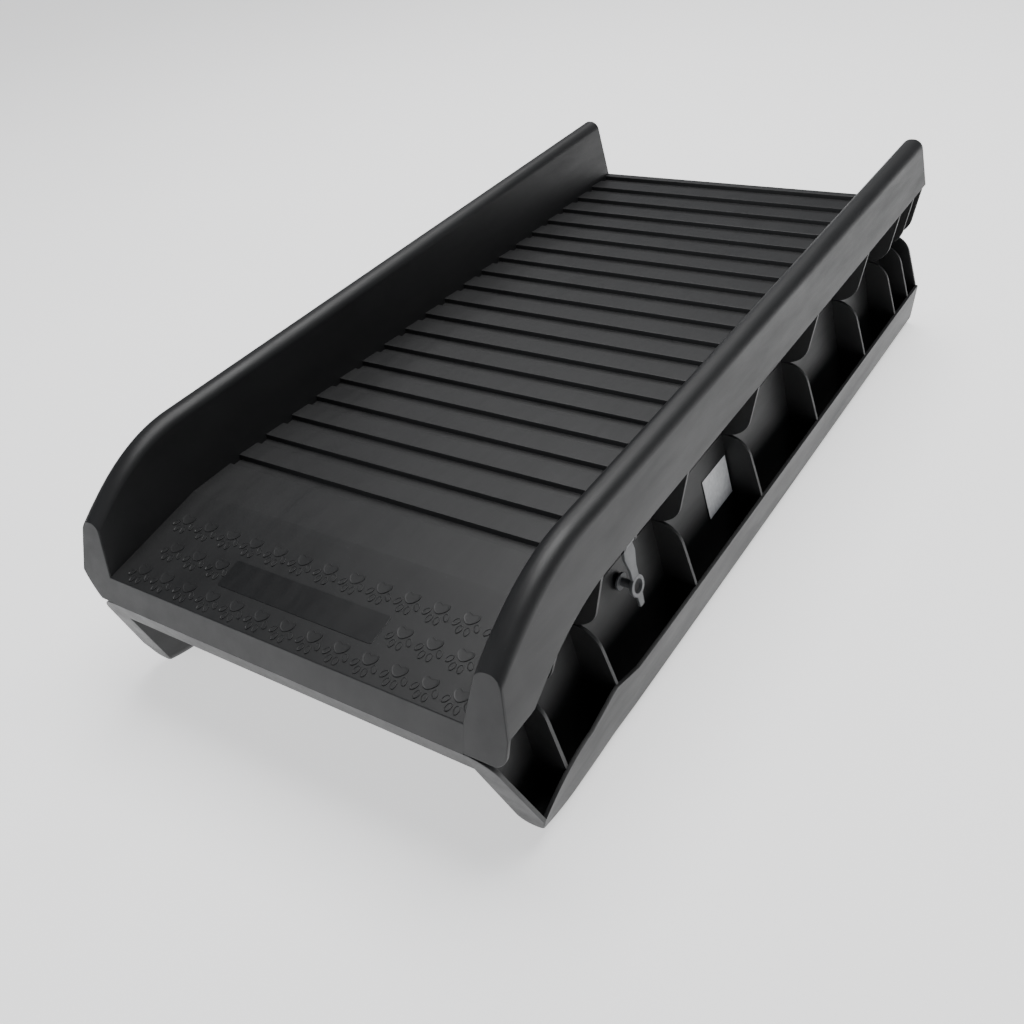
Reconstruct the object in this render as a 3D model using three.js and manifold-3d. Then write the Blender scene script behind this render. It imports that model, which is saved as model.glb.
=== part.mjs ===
// Two-part folding dog ramp, folded flat for storage.
// The halves lie underside to underside and turn about a steel rod at the +Y end.
// Millimetres, +Z up. The origin is on the floor, under the middle of the folded ramp.
// Each half is drawn the way it is walked on: x across, y along, h up from its underside.
import * as THREE from 'three';
import { mergeVertices } from 'three/addons/utils/BufferGeometryUtils.js';
import Module from 'manifold-3d';

const wasm = await Module();
wasm.setup();

// Overall size of the folded ramp.
const WIDTH = 400;
const LENGTH = 785;
const HEIGHT = 200;

// Clearances and wall thicknesses.
const GAP = 0.3;
const WALL = 3;
const HALF_HEIGHT = HEIGHT / 2;
const UNDERSIDE = GAP / 2;
const OUTER_END = -LENGTH / 2;

// Hinge at the +Y end, with its axis in the plane where the undersides meet.
const KNUCKLE_RADIUS = 8;
const HINGE_Y = LENGTH / 2 - KNUCKLE_RADIUS;
const SHELL_END = HINGE_Y - GAP;
const ROD_RADIUS = 3;
const BORE_RADIUS = 3.3;
const KNUCKLE_LENGTH = 44;
const KNUCKLE_CELL = 50;
const KNUCKLE_COUNT = 6;
const KNUCKLE_ROOM = 9;
const ROD_HALF_LENGTH = 155;
const ROD_CAP_RADIUS = 6;
const ROD_CAP_START = 151;
const ROD_CAP_END = 158;

// Tread: raised planks with channels between them, and a sloping entry panel.
const CHANNEL_LEVEL = 35;
const PLANK_NEAR_LEVEL = 39.5;
const PLANK_FAR_LEVEL = 38;
const DECK_UNDERSIDE = 32;
const TREAD_HALF_WIDTH = 164.8;
const PLANK_COUNT = 20;
const PLANK_PITCH = 32.4;
const PLANK_LENGTH = 21.6;
const FIRST_PLANK = -239;
const PANEL_BEND = -292;

// Side rail section: a leaning inner wall down to the underside, a crown and an outer skirt.
const WALL_FOOT_X = 161;
const WALL_TREAD_X = 165.4;
const INNER_SHOULDER_X = 174;
const OUTER_SHOULDER_X = 194.5;
const SKIRT_EDGE_X = WIDTH / 2;
const SKIRT_EDGE_LEVEL = 55;
const CROWN_RADIUS = 7.5;
const WALL_LEAN = 8;
const END_SLANT = 0.31;
const RAIL_STATIONS = [-360, -348, -336, -322, -307, -292, -275, -258, SHELL_END];

// Ribs: plates under the tread that pass through slots in the rails' inner walls
// and fill the rails as gussets.
const RIB_WALL = 3;
const RIB_CORNER = 22;
const RIB_CORNER_X = 168;
const RIB_LEVEL = DECK_UNDERSIDE - GAP;
const RIB_FOOT_X = WALL_FOOT_X - 0.4;
const RIB_TOP_X = WALL_TREAD_X - 0.5;
const RIB_NECK_X = 171;

// Latch: a strap hinged inside the upper half's rail hollow, hooked over a lower peg.
const LATCH_Y = -200;
const LATCH_X = 176;
const LATCH_LEVEL = 26;
const LATCH_REACH = 40;
const LATCH_SWING = 8;
const LATCH_EYE_RADIUS = 5.6;
const LATCH_RING_RADIUS = 8.8;
const LATCH_PIN_RADIUS = 2.2;
const LATCH_PIN_BORE = 2.5;
const LATCH_HUB_RADIUS = 4.5;
const LATCH_HUB_LENGTH = 12;
const LATCH_PIN_LENGTH = 24;
const STRAP_THICKNESS = 3;
const STRAP_ROOT = 5.5;
const STRAP_SHOULDER = 7.5;
const STRAP_SHOULDER_DEPTH = 12;
const STRAP_NECK = 4.5;
const STRAP_NECK_DEPTH = 24;
const STRAP_TAB = 3;
const STRAP_TAB_DEPTH = 58;
const BRACKET_HALF_LENGTH = 13;
const BRACKET_PLATE = 2.5;
const LUG_WALL = 3;
const PEG_RADIUS = 3.2;
const PEG_START = 167.5;
const PEG_END = 178.5;
const PEG_FLANGE_RADIUS = 7;
const PEG_FLANGE = 2;

// Rubber feet pushed on to the first rib of each half.
const FOOT_X = 110;
const FOOT_WIDTH = 30;
const FOOT_THICKNESS = 9;
const FOOT_PROUD = 1.2;
const FOOT_TOP = 8;

// The ground end's rails sweep down to the lip. Those of the vehicle end stay high.
const groundEnd = {
  panelDrop: 17,
  panelEnd: -386,
  crownBend: -275,
  crownFall: 0.0041,
  edgeBend: -258,
  edgeFall: 0.0036,
  cornerRadius: 10,
  cornerX: 188,
  ribs: [-322, -264, -141, -18, 105, 228, 316, 356],
};
const vehicleEnd = {
  panelDrop: 17,
  panelEnd: -386,
  crownBend: -320,
  crownFall: 0.004,
  edgeBend: -300,
  edgeFall: -0.0042,
  cornerRadius: RIB_CORNER,
  cornerX: RIB_CORNER_X,
  ribs: [-334, -264, -141, -18, 105, 228, 316, 356],
};
const LEAST_EDGE_LEVEL = 20;
const LEAST_SKIRT = 13;

const finishes = {
  shell: { color: 0x1c1d1f, roughness: 0.42, metalness: 0 },
  strap: { color: 0x4a4c4e, roughness: 0.5, metalness: 0 },
  steel: { color: 0xb4b7ba, roughness: 0.3, metalness: 1 },
  rubber: { color: 0x0c0c0d, roughness: 0.85, metalness: 0 },
};

// --- Levels along a half -------------------------------------------------------------

function fall(y, bend, rate) {
  return y < bend ? rate * (bend - y) ** 2 : 0;
}

function crownLevel(end, y) {
  return HALF_HEIGHT - fall(y, end.crownBend, end.crownFall);
}

function skirtLevel(end, y) {
  const level = SKIRT_EDGE_LEVEL - fall(y, end.edgeBend, end.edgeFall);
  return Math.min(Math.max(level, LEAST_EDGE_LEVEL), crownLevel(end, y) - LEAST_SKIRT);
}

function panelFall(end, y) {
  const run = (PANEL_BEND - y) / (PANEL_BEND - end.panelEnd);
  return end.panelDrop * Math.max(run, 0);
}

// Moves a level of the straight rail section to where it lies at y.
function settle(end, x, h, y) {
  const crown = crownLevel(end, y);
  if (x > (INNER_SHOULDER_X + OUTER_SHOULDER_X) / 2) {
    const edge = skirtLevel(end, y);
    return edge + ((h - SKIRT_EDGE_LEVEL) / (HALF_HEIGHT - SKIRT_EDGE_LEVEL)) * (crown - edge);
  }
  const tread = DECK_UNDERSIDE - panelFall(end, y);
  if (h <= DECK_UNDERSIDE) {
    return UNDERSIDE + ((h - UNDERSIDE) / (DECK_UNDERSIDE - UNDERSIDE)) * (tread - UNDERSIDE);
  }
  return tread + ((h - DECK_UNDERSIDE) / (HALF_HEIGHT - DECK_UNDERSIDE)) * (crown - tread);
}

// The same, on the slanted outer end face: gives y and h together.
function settleOnEnd(end, x, h) {
  let y = OUTER_END;
  for (let i = 0; i < 30; i += 1) {
    y = OUTER_END + END_SLANT * settle(end, x, h, y);
  }
  return { y, h: settle(end, x, h, y) };
}

// --- Geometry tools ------------------------------------------------------------------

function outline(points) {
  return new THREE.Shape(points.map(([a, b]) => new THREE.Vector2(a, b)));
}

// An outline in x and h, extruded along +Y.
function alongY(shape, y, length) {
  const geometry = new THREE.ExtrudeGeometry(shape, { depth: length, bevelEnabled: false });
  geometry.rotateX(Math.PI / 2);
  return geometry.translate(0, y + length, 0);
}

// An outline in y and h, extruded along +X.
function alongX(shape, x, length) {
  const geometry = new THREE.ExtrudeGeometry(shape, { depth: length, bevelEnabled: false });
  geometry.rotateX(Math.PI / 2);
  geometry.rotateZ(Math.PI / 2);
  return geometry.translate(x, 0, 0);
}

function rodAlongX(radius, x, length, y, h) {
  const geometry = new THREE.CylinderGeometry(radius, radius, length, 24);
  geometry.rotateZ(Math.PI / 2);
  return geometry.translate(x + length / 2, y, h);
}

function rodAlongY(radius, y, length, x, h) {
  const geometry = new THREE.CylinderGeometry(radius, radius, length, 20);
  return geometry.translate(x, y + length / 2, h);
}

function block(x, y, h, width, depth, height) {
  const geometry = new THREE.BoxGeometry(width, depth, height);
  return geometry.translate(x + width / 2, y + depth / 2, h + height / 2);
}

function arc(centreX, centreH, radius, from, to, count) {
  const points = [];
  for (let i = 0; i <= count; i += 1) {
    const angle = THREE.MathUtils.degToRad(from + ((to - from) * i) / count);
    points.push([centreX + radius * Math.cos(angle), centreH + radius * Math.sin(angle)]);
  }
  return points;
}

function toSolid(geometry) {
  const bare = geometry.clone();
  bare.deleteAttribute('normal');
  bare.deleteAttribute('uv');
  const merged = mergeVertices(bare, 1e-4);
  return new wasm.Manifold(new wasm.Mesh({
    numProp: 3,
    vertProperties: new Float32Array(merged.attributes.position.array),
    triVerts: new Uint32Array(merged.index.array),
  }));
}

function toGeometry(solid) {
  const mesh = solid.getMesh();
  const geometry = new THREE.BufferGeometry();
  geometry.setAttribute('position', new THREE.BufferAttribute(mesh.vertProperties, 3));
  geometry.setIndex(new THREE.BufferAttribute(mesh.triVerts, 1));
  geometry.computeVertexNormals();
  return geometry;
}

// Left and right hand pieces are drawn on the +X side and mirrored across x = 0.
function onSide(geometry, side) {
  if (side > 0) {
    return geometry;
  }
  const mirrored = geometry.index ? geometry.toNonIndexed() : geometry.clone();
  const place = mirrored.attributes.position;
  for (let i = 0; i < place.count; i += 3) {
    const corners = [i, i + 1, i + 2].map((n) => new THREE.Vector3().fromBufferAttribute(place, n));
    corners.reverse().forEach((corner, n) => place.setXYZ(i + n, -corner.x, corner.y, corner.z));
  }
  mirrored.computeVertexNormals();
  return mirrored;
}

function addPiece(group, name, geometry, finish) {
  const material = new THREE.MeshStandardMaterial({ ...finishes[finish], flatShading: true });
  const mesh = new THREE.Mesh(geometry, material);
  mesh.name = name;
  group.add(mesh);
}

// --- Side rails ----------------------------------------------------------------------

// The rail's face from the wall's foot, over the crown, to the skirt's free edge,
// set in from the outer surface.
function railFace(inset) {
  const radius = CROWN_RADIUS - inset;
  const centreH = HALF_HEIGHT - CROWN_RADIUS;
  return [
    [WALL_FOOT_X + inset, UNDERSIDE],
    [WALL_TREAD_X + inset, DECK_UNDERSIDE],
    ...arc(INNER_SHOULDER_X + CROWN_RADIUS, centreH, radius, 180 - WALL_LEAN, 90, 4),
    ...arc(OUTER_SHOULDER_X - CROWN_RADIUS, centreH, radius, 90, WALL_LEAN, 4),
    [SKIRT_EDGE_X - inset, SKIRT_EDGE_LEVEL],
  ];
}

function railShell(end) {
  const steps = RAIL_STATIONS.length;
  const section = outline([...railFace(0), ...railFace(WALL).reverse()]);
  const geometry = new THREE.ExtrudeGeometry(section, { depth: steps, steps, bevelEnabled: false });
  const place = geometry.attributes.position;
  for (let i = 0; i < place.count; i += 1) {
    const x = place.getX(i);
    const h = place.getY(i);
    const station = steps - Math.round(place.getZ(i));
    const y = RAIL_STATIONS[station - 1];
    const point = station === 0 ? settleOnEnd(end, x, h) : { y, h: settle(end, x, h, y) };
    place.setXYZ(i, x, point.y, point.h);
  }
  return toSolid(geometry);
}

// A gusset fills the rail from its inner wall to its skirt, down to a rounded corner.
// It follows the rail's section at its near face, where the rail is lowest.
function gusset(end, y, inset) {
  const near = y - RIB_WALL / 2;
  const rail = railFace(inset).map(([x, h]) => [x, settle(end, x, h, near)]);
  const corner = arc(RIB_CORNER_X, UNDERSIDE + RIB_CORNER, RIB_CORNER, -90, -17, 5);
  return toSolid(alongY(outline([...corner, ...rail.reverse()]), near, RIB_WALL));
}

// The plate that closes the rail's outer end leans back with the end face.
function endCap(end) {
  const rail = railFace(WALL / 2).map(([x, h]) => [x, settleOnEnd(end, x, h).h]);
  const corner = arc(end.cornerX, UNDERSIDE + end.cornerRadius, end.cornerRadius, -90, -17, 5);
  const geometry = alongY(outline([...corner, ...rail.reverse()]), OUTER_END, WALL);
  const place = geometry.attributes.position;
  for (let i = 0; i < place.count; i += 1) {
    place.setY(i, place.getY(i) + END_SLANT * place.getZ(i));
  }
  return geometry;
}

// The rail's inner wall is slotted where each rib passes through it.
function railGeometry(end) {
  const plug = gusset(end, SHELL_END - RIB_WALL / 2, WALL / 2);
  const slotWidth = WALL_TREAD_X - WALL_FOOT_X + WALL + 2;
  let rail = railShell(end).add(toSolid(endCap(end))).add(plug);
  for (const y of end.ribs) {
    const near = y - RIB_WALL / 2 - GAP;
    const top = RIB_LEVEL + GAP - panelFall(end, near);
    const slot = block(WALL_FOOT_X - 1, near, -1, slotWidth, RIB_WALL + 2 * GAP, top + 1);
    rail = rail.subtract(toSolid(slot));
  }
  return toGeometry(rail);
}

// --- Tread, lip, ribs and hinge wall ---------------------------------------------------

function treadGeometry(end) {
  const lip = PLANK_FAR_LEVEL - end.panelDrop;
  const top = [[end.panelEnd, lip], [PANEL_BEND, PLANK_FAR_LEVEL]];
  for (let i = 0; i < PLANK_COUNT; i += 1) {
    const y = FIRST_PLANK + i * PLANK_PITCH;
    const channel = y - (PLANK_PITCH - PLANK_LENGTH);
    top.push([channel, PLANK_FAR_LEVEL], [channel, CHANNEL_LEVEL]);
    top.push([y, CHANNEL_LEVEL], [y, PLANK_NEAR_LEVEL]);
  }
  const bottom = [
    [SHELL_END, PLANK_NEAR_LEVEL],
    [SHELL_END, DECK_UNDERSIDE],
    [PANEL_BEND, DECK_UNDERSIDE],
    [end.panelEnd, DECK_UNDERSIDE - end.panelDrop],
  ];
  return alongX(outline([...top, ...bottom]), -TREAD_HALF_WIDTH, 2 * TREAD_HALF_WIDTH);
}

function lipGeometry(end) {
  const y = end.panelEnd - GAP;
  const top = PLANK_FAR_LEVEL - end.panelDrop;
  const profile = outline([
    [y, top],
    [OUTER_END, UNDERSIDE + 2],
    [OUTER_END, UNDERSIDE],
    [Math.min(y, OUTER_END + 6), UNDERSIDE],
    [y, top - 6],
  ]);
  return alongX(profile, -RIB_FOOT_X, 2 * RIB_FOOT_X);
}

function ribOutline(level) {
  return outline([
    [-RIB_FOOT_X, UNDERSIDE],
    [RIB_FOOT_X, UNDERSIDE],
    [RIB_TOP_X, level],
    [-RIB_TOP_X, level],
  ]);
}

// One plate from skirt to skirt: a bar under the tread and a gusset in each rail.
function ribGeometry(end, y) {
  const near = y - RIB_WALL / 2;
  const level = RIB_LEVEL - panelFall(end, near);
  const bar = block(-RIB_NECK_X, near, UNDERSIDE, 2 * RIB_NECK_X, RIB_WALL, level - UNDERSIDE);
  const right = gusset(end, y, WALL + GAP);
  return toGeometry(toSolid(bar).add(right).add(right.mirror([1, 0, 0])));
}

// The wall at the hinge end carries every second knuckle, and is cut away for the others.
// Two of these walls mesh when one is turned over.
function hingeWallGeometry() {
  const start = (-KNUCKLE_COUNT * KNUCKLE_CELL) / 2;
  const margin = (KNUCKLE_CELL - KNUCKLE_LENGTH) / 2;
  let wall = toSolid(alongY(ribOutline(RIB_LEVEL), SHELL_END - RIB_WALL, RIB_WALL));
  for (let i = 0; i < KNUCKLE_COUNT; i += 1) {
    const x = start + i * KNUCKLE_CELL;
    if (i % 2 === 0) {
      wall = wall.add(toSolid(rodAlongX(KNUCKLE_RADIUS, x + margin, KNUCKLE_LENGTH, HINGE_Y, 0)));
    } else {
      wall = wall.subtract(toSolid(rodAlongX(KNUCKLE_ROOM, x, KNUCKLE_CELL, HINGE_Y, 0)));
    }
  }
  const capRoom = ROD_CAP_END - ROD_CAP_START + 4;
  for (const x of [ROD_CAP_START - 1, -ROD_CAP_END - 3]) {
    wall = wall.subtract(toSolid(rodAlongX(KNUCKLE_ROOM, x, capRoom, HINGE_Y, 0)));
  }
  return toGeometry(wall.subtract(toSolid(rodAlongX(BORE_RADIUS, -WIDTH / 2, WIDTH, HINGE_Y, 0))));
}

// A block with a slot that pushes over the rib.
function footGeometry(y) {
  const x = FOOT_X - FOOT_WIDTH / 2;
  const depth = RIB_WALL + 2 * GAP;
  const height = FOOT_TOP + FOOT_PROUD;
  const foot = block(x, y - FOOT_THICKNESS / 2, -FOOT_PROUD, FOOT_WIDTH, FOOT_THICKNESS, height);
  const slot = block(x - 1, y - depth / 2, UNDERSIDE - GAP, FOOT_WIDTH + 2, depth, height);
  return toGeometry(toSolid(foot).subtract(toSolid(slot)));
}

// --- Latch ---------------------------------------------------------------------------

// Outline of the strap's blade in y and depth below its pivot, with the eye as a hole.
function strapBlade() {
  const shoulder = -STRAP_SHOULDER_DEPTH;
  const neck = -STRAP_NECK_DEPTH;
  const blade = outline([
    [LATCH_Y - STRAP_ROOT, 0],
    [LATCH_Y + STRAP_ROOT, 0],
    [LATCH_Y + STRAP_SHOULDER, shoulder],
    [LATCH_Y + STRAP_NECK, neck],
    ...arc(LATCH_Y, -LATCH_REACH, LATCH_RING_RADIUS, 55, -60, 8),
    [LATCH_Y + STRAP_TAB, -STRAP_TAB_DEPTH],
    [LATCH_Y - STRAP_TAB, -STRAP_TAB_DEPTH],
    ...arc(LATCH_Y, -LATCH_REACH, LATCH_RING_RADIUS, 240, 125, 8),
    [LATCH_Y - STRAP_NECK, neck],
    [LATCH_Y - STRAP_SHOULDER, shoulder],
  ]);
  const eye = arc(LATCH_Y, -LATCH_REACH, LATCH_EYE_RADIUS, 0, 345, 23);
  blade.holes.push(new THREE.Path(eye.map(([y, h]) => new THREE.Vector2(y, h))));
  return alongX(blade, -STRAP_THICKNESS / 2, STRAP_THICKNESS);
}

// The hole for the pin, longer than any piece it goes through.
function pinBore(x, h) {
  return toSolid(rodAlongY(LATCH_PIN_BORE, LATCH_Y - LATCH_PIN_LENGTH, 2 * LATCH_PIN_LENGTH, x, h));
}

function strapGeometry() {
  const hub = rodAlongY(LATCH_HUB_RADIUS, LATCH_Y - LATCH_HUB_LENGTH / 2, LATCH_HUB_LENGTH, 0, 0);
  const strap = toGeometry(toSolid(strapBlade()).add(toSolid(hub)).subtract(pinBore(0, 0)));
  strap.rotateY(THREE.MathUtils.degToRad(-LATCH_SWING));
  return strap.translate(LATCH_X, 0, LATCH_LEVEL);
}

// Two lugs on a plate that lies against the rail's leaning inner wall.
function bracketGeometry() {
  const lean = (WALL_TREAD_X - WALL_FOOT_X) / DECK_UNDERSIDE;
  const wallX = (h) => WALL_FOOT_X + WALL + GAP + lean * h;
  const low = LATCH_LEVEL - 6;
  const high = LATCH_LEVEL + 5;
  const lug = outline([
    [wallX(low), low],
    [wallX(low) + LUG_WALL, low],
    ...arc(LATCH_X, LATCH_LEVEL, LATCH_HUB_RADIUS, -90, 90, 8),
    [wallX(high) + LUG_WALL, high],
    [wallX(high), high],
  ]);
  const plate = outline([
    [wallX(low), low],
    [wallX(low) + BRACKET_PLATE, low],
    [wallX(high) + BRACKET_PLATE, high],
    [wallX(high), high],
  ]);
  const lugStart = LATCH_HUB_LENGTH / 2 + 0.5;
  let bracket = toSolid(alongY(plate, LATCH_Y - BRACKET_HALF_LENGTH, 2 * BRACKET_HALF_LENGTH));
  bracket = bracket.add(toSolid(alongY(lug, LATCH_Y + lugStart, LUG_WALL)));
  bracket = bracket.add(toSolid(alongY(lug, LATCH_Y - lugStart - LUG_WALL, LUG_WALL)));
  return toGeometry(bracket.subtract(pinBore(LATCH_X, LATCH_LEVEL)));
}

// A round peg on a flange, with a chamfered end.
function pegGeometry() {
  const length = PEG_END - PEG_START;
  const profile = [
    [0, 0],
    [PEG_FLANGE_RADIUS, 0],
    [PEG_FLANGE_RADIUS, PEG_FLANGE],
    [PEG_RADIUS, PEG_FLANGE + 1.5],
    [PEG_RADIUS, length - 2],
    [PEG_RADIUS - 1, length],
    [0, length],
  ];
  const geometry = new THREE.LatheGeometry(profile.map(([r, a]) => new THREE.Vector2(r, a)), 24);
  geometry.rotateZ(-Math.PI / 2);
  return geometry.translate(PEG_START, LATCH_Y, LATCH_REACH - LATCH_LEVEL);
}

// --- Hinge rod -------------------------------------------------------------------------

function rodCapGeometry() {
  const depth = ROD_HALF_LENGTH - ROD_CAP_START + GAP;
  const length = ROD_CAP_END - ROD_CAP_START;
  const profile = [
    [BORE_RADIUS, 0],
    [ROD_CAP_RADIUS, 0],
    [ROD_CAP_RADIUS, length - 1],
    [ROD_CAP_RADIUS - 1, length],
    [0, length],
    [0, depth],
    [BORE_RADIUS, depth],
    [BORE_RADIUS, 0],
  ];
  const geometry = new THREE.LatheGeometry(profile.map(([r, a]) => new THREE.Vector2(r, a)), 24);
  geometry.rotateZ(-Math.PI / 2);
  return geometry.translate(ROD_CAP_START, HINGE_Y, 0);
}

// --- Assembly --------------------------------------------------------------------------

function addHalf(group, name, end, flip) {
  addPiece(group, `${name}_tread`, treadGeometry(end), 'shell');
  addPiece(group, `${name}_end_lip`, lipGeometry(end), 'shell');
  addPiece(group, `${name}_hinge_wall`, hingeWallGeometry(), 'shell');
  end.ribs.forEach((y, i) => addPiece(group, `${name}_rib_${i + 1}`, ribGeometry(end, y), 'shell'));
  const rail = railGeometry(end);
  const foot = footGeometry(end.ribs[0]);
  for (const side of [-1, 1]) {
    const hand = side * flip > 0 ? 'right' : 'left';
    addPiece(group, `${name}_rail_${hand}`, onSide(rail, side), 'shell');
    addPiece(group, `${name}_foot_${hand}`, onSide(foot, side), 'rubber');
  }
}

const ramp = new THREE.Group();

const upper = new THREE.Group();
upper.position.z = HALF_HEIGHT;
addHalf(upper, 'upper', groundEnd, 1);
ramp.add(upper);

const lower = new THREE.Group();
lower.position.z = HALF_HEIGHT;
lower.rotation.y = Math.PI;
addHalf(lower, 'lower', vehicleEnd, -1);
ramp.add(lower);

for (const side of [-1, 1]) {
  const hand = side > 0 ? 'right' : 'left';
  const pinStart = LATCH_Y - LATCH_PIN_LENGTH / 2;
  const pin = rodAlongY(LATCH_PIN_RADIUS, pinStart, LATCH_PIN_LENGTH, LATCH_X, LATCH_LEVEL);
  addPiece(upper, `latch_bracket_${hand}`, onSide(bracketGeometry(), side), 'shell');
  addPiece(upper, `latch_pin_${hand}`, onSide(pin, side), 'steel');
  addPiece(upper, `latch_strap_${hand}`, onSide(strapGeometry(), side), 'strap');
  addPiece(lower, `latch_peg_${hand}`, onSide(pegGeometry(), -side), 'strap');
  addPiece(lower, `hinge_rod_cap_${hand}`, onSide(rodCapGeometry(), -side), 'rubber');
}
const rod = rodAlongX(ROD_RADIUS, -ROD_HALF_LENGTH, 2 * ROD_HALF_LENGTH, HINGE_Y, 0);
addPiece(lower, 'hinge_rod', rod, 'steel');

export default ramp;
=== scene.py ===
import math

import bmesh
import bpy
from mathutils import Matrix, Vector


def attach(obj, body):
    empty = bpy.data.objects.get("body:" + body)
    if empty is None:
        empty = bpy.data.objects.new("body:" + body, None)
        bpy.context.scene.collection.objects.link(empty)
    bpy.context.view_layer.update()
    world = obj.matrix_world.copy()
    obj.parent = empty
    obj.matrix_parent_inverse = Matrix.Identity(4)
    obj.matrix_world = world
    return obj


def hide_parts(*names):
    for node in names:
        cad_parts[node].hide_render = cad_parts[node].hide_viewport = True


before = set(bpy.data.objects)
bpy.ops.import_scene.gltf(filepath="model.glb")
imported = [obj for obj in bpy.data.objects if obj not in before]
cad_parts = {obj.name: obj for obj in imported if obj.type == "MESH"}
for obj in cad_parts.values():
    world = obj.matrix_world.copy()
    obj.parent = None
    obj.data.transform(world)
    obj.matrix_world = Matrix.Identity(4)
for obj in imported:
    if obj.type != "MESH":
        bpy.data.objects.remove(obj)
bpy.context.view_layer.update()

# ---------------------------------------------------------------------------------------
# Black polypropylene, the one plastic of both mouldings.
# It is moulded against finely grained steel, so it is satin with a very fine grain,
# has faint vertical flow marks on the tall faces and a little pale dust and scuffing.


def node(tree, kind, **inputs):
    """Adds a shader node and fills in its sockets by name."""
    made = tree.nodes.new(kind)
    for name, value in inputs.items():
        made.inputs[name.replace("_", " ")].default_value = value
    return made


def noise(tree, vector, scale, detail, roughness=0.5):
    made = node(tree, "ShaderNodeTexNoise", Scale=scale, Detail=detail, Roughness=roughness)
    tree.links.new(vector, made.inputs["Vector"])
    return made.outputs["Fac"]


def ramp(tree, value, stops):
    """A colour ramp through (position, (r, g, b)) stops."""
    made = tree.nodes.new("ShaderNodeValToRGB")
    elements = made.color_ramp.elements
    for element, (place, colour) in zip(elements, stops):
        element.position = place
        element.color = (*colour, 1)
    for place, colour in stops[2:]:
        elements.new(place).color = (*colour, 1)
    tree.links.new(value, made.inputs["Fac"])
    return made.outputs["Color"]


def spread(tree, value, low, high, to_low, to_high):
    """Maps a value from one range to another."""
    made = tree.nodes.new("ShaderNodeMapRange")
    for name, number in (("From Min", low), ("From Max", high), ("To Min", to_low), ("To Max", to_high)):
        made.inputs[name].default_value = number
    tree.links.new(value, made.inputs["Value"])
    return made.outputs["Result"]


def mix(tree, share, first, second):
    made = tree.nodes.new("ShaderNodeMix")
    made.data_type = "RGBA"
    tree.links.new(share, made.inputs[0])
    for socket, colour in ((made.inputs[6], first), (made.inputs[7], second)):
        if isinstance(colour, tuple):
            socket.default_value = (*colour, 1)
        else:
            tree.links.new(colour, socket)
    return made.outputs[2]


def bumped(tree, bsdf, heights):
    """Stacks (height, strength, distance in metres) bumps on the shader's normal."""
    below = None
    for height, strength, distance in heights:
        bump = node(tree, "ShaderNodeBump", Strength=strength, Distance=distance)
        tree.links.new(height, bump.inputs["Height"])
        if below is not None:
            tree.links.new(below, bump.inputs["Normal"])
        below = bump.outputs["Normal"]
    tree.links.new(below, bsdf.inputs["Normal"])


def new_finish(name):
    finish = bpy.data.materials.new(name)
    finish.use_nodes = True
    tree = finish.node_tree
    where = tree.nodes.new("ShaderNodeTexCoord").outputs["Object"]
    return finish, tree, tree.nodes["Principled BSDF"], where


def stretched(tree, where, x, y, z):
    mapping = tree.nodes.new("ShaderNodeMapping")
    mapping.inputs["Scale"].default_value = (x, y, z)
    tree.links.new(where, mapping.inputs["Vector"])
    return mapping.outputs["Vector"]


def moulded_black(name, tone, dust, roughness):
    finish, tree, bsdf, where = new_finish(name)
    blotches = noise(tree, where, 16, 4, 0.6)
    flow = noise(tree, stretched(tree, where, 22, 22, 2.5), 1, 3, 0.65)
    darker, lighter, flow_tone = (tuple(share * c for c in tone) for share in (0.86, 1.14, 0.7))
    colour = ramp(tree, blotches, ((0.3, darker), (0.7, lighter)))
    marked = mix(tree, spread(tree, flow, 0.62, 0.72, 0, 0.35), colour, flow_tone)
    specks = spread(tree, noise(tree, where, 900, 2), 0.74, 0.79, 0, dust)
    tree.links.new(mix(tree, specks, marked, (0.16, 0.16, 0.165)), bsdf.inputs["Base Color"])
    worn = noise(tree, stretched(tree, where, 60, 9, 60), 1, 4, 0.7)
    sheen = spread(tree, worn, 0.3, 0.75, roughness - 0.05, roughness + 0.09)
    tree.links.new(sheen, bsdf.inputs["Roughness"])
    grain = noise(tree, where, 1500, 3, 0.6)
    ripple = noise(tree, where, 26, 2)
    bumped(tree, bsdf, ((ripple, 0.12, 0.002), (grain, 0.35, 0.00012)))
    return finish


shell_black = moulded_black("shell_black", (0.0135, 0.0137, 0.0141), 0.3, 0.45)

# ---------------------------------------------------------------------------------------
# The side rails: each an open 3 mm shell of black plastic, from the wall's foot over the crown to
# the skirt's free edge, moulded in one with its half. A half is drawn as it is walked on, in
# millimetres: x across, y along with the end away from the hinge at -y, h up from its underside.

UNDERSIDE = 0.15
WALL = 3.0
OUTER_END = -392.5
SHELL_END = 384.2
DECK_UNDERSIDE = 32.0
HALF_HEIGHT = 100.0
SKIRT_EDGE = 55.0
PANEL_BEND = -292.0
PLANK_TOP = 38.0
END_SLANT = 0.31
END_INSET = 1.0
HALF_WIDTH = 200.0
RAIL_CORNERS = (
    (161, UNDERSIDE), (165.4, DECK_UNDERSIDE), (174.98, HALF_HEIGHT), (193.5, HALF_HEIGHT),
    (HALF_WIDTH, SKIRT_EDGE),
)
CROWN_MIDDLE = 184.25
CROWN_ROUNDING = 8.2
PANEL_DROP = 17.0
PANEL_END = -386.0
LAST_STRAIGHT = -355.0
SETTLING_ROUNDS = 12
BULGE_MIDDLE = -268.0
BULGE_REACH = 34.0
LEAST_EDGE = 20.0
LEAST_SKIRT = 13.0
FINE_SLICE = 6.0
COARSE_SLICE = 60.0
FIRST_COARSE_SLICE = -200.0
GUSSET_CORNER_X = 185.24
GUSSET_CORNER = 17.3

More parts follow.
